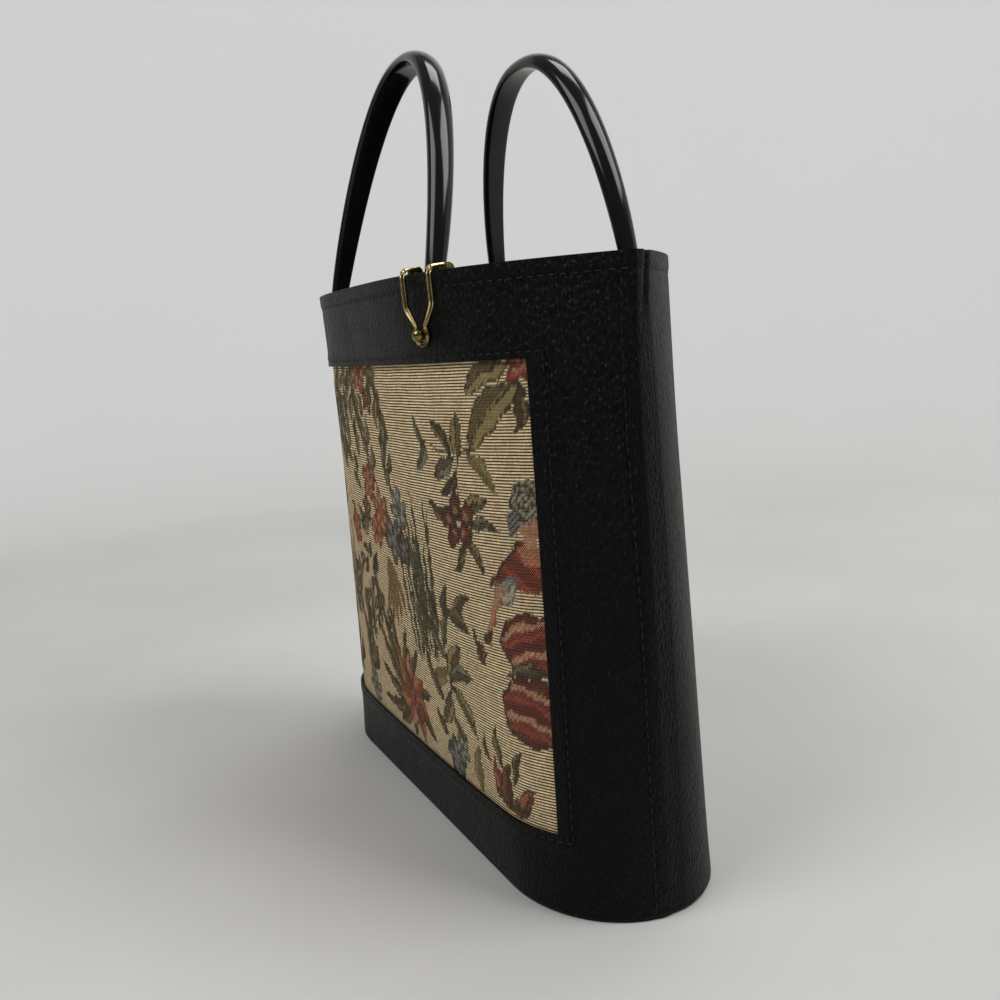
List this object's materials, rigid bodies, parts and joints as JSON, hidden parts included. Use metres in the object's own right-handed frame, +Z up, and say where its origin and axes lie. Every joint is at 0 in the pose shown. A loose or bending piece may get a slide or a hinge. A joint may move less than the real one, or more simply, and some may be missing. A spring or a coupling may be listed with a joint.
{
  "type": "tapestry handbag",
  "caption": "Tall black handbag with a woven tapestry front, round-ended base, pointed open mouth, two swinging loop handles and a gilt wishbone clasp on the rim.",
  "frame": {"origin": "centre of the flat bottom, on the surface that the bag stands on", "axes": "+Z up, +X along the bag's length, the tapestry front faces -Y"},
  "size_m": [0.325, 0.133, 0.3913],
  "materials": {
    "vinyl": "satin grained black vinyl",
    "tapestry": "ribbed woven tapestry with flowers",
    "board": "plain fibreboard",
    "lining": "matt black cloth",
    "handle": "polished black",
    "gilt": "polished gilt",
    "steel": "plain"
  },
  "bodies": {
    "bag": {"front_panel": "vinyl", "back_panel": "vinyl", "tapestry_panel": "tapestry", "base_panel": "vinyl", "base_board": "board", "lining": "lining", "rim_facing": "vinyl", "front_left_anchor": "steel", "front_right_anchor": "steel", "back_left_anchor": "steel", "back_right_anchor": "steel", "handle_pins": "steel", "clasp_bracket": "gilt", "ball_stud": "gilt", "stud_washer": "steel"},
    "front_handle": {"front_handle": "handle"},
    "back_handle": {"back_handle": "handle"},
    "clasp": {"clasp": "gilt"}
  },
  "joints": [
    {"name": "front_handle_swing", "type": "hinge", "parent": "bag", "child": "front_handle", "pos_m": [0, -0.05183, 0.269], "axis": [1, 0, 0], "range_deg": [-9, 11]},
    {"name": "back_handle_swing", "type": "hinge", "parent": "bag", "child": "back_handle", "pos_m": [0, 0.05183, 0.269], "axis": [1, 0, 0], "range_deg": [-5, 15.5]},
    {"name": "clasp_swing", "type": "hinge", "parent": "bag", "child": "clasp", "pos_m": [0.07718, -0.0531, 0.27793], "axis": [-0.9659, -0.2588, 0], "range_deg": [0, 100]}
  ]
}
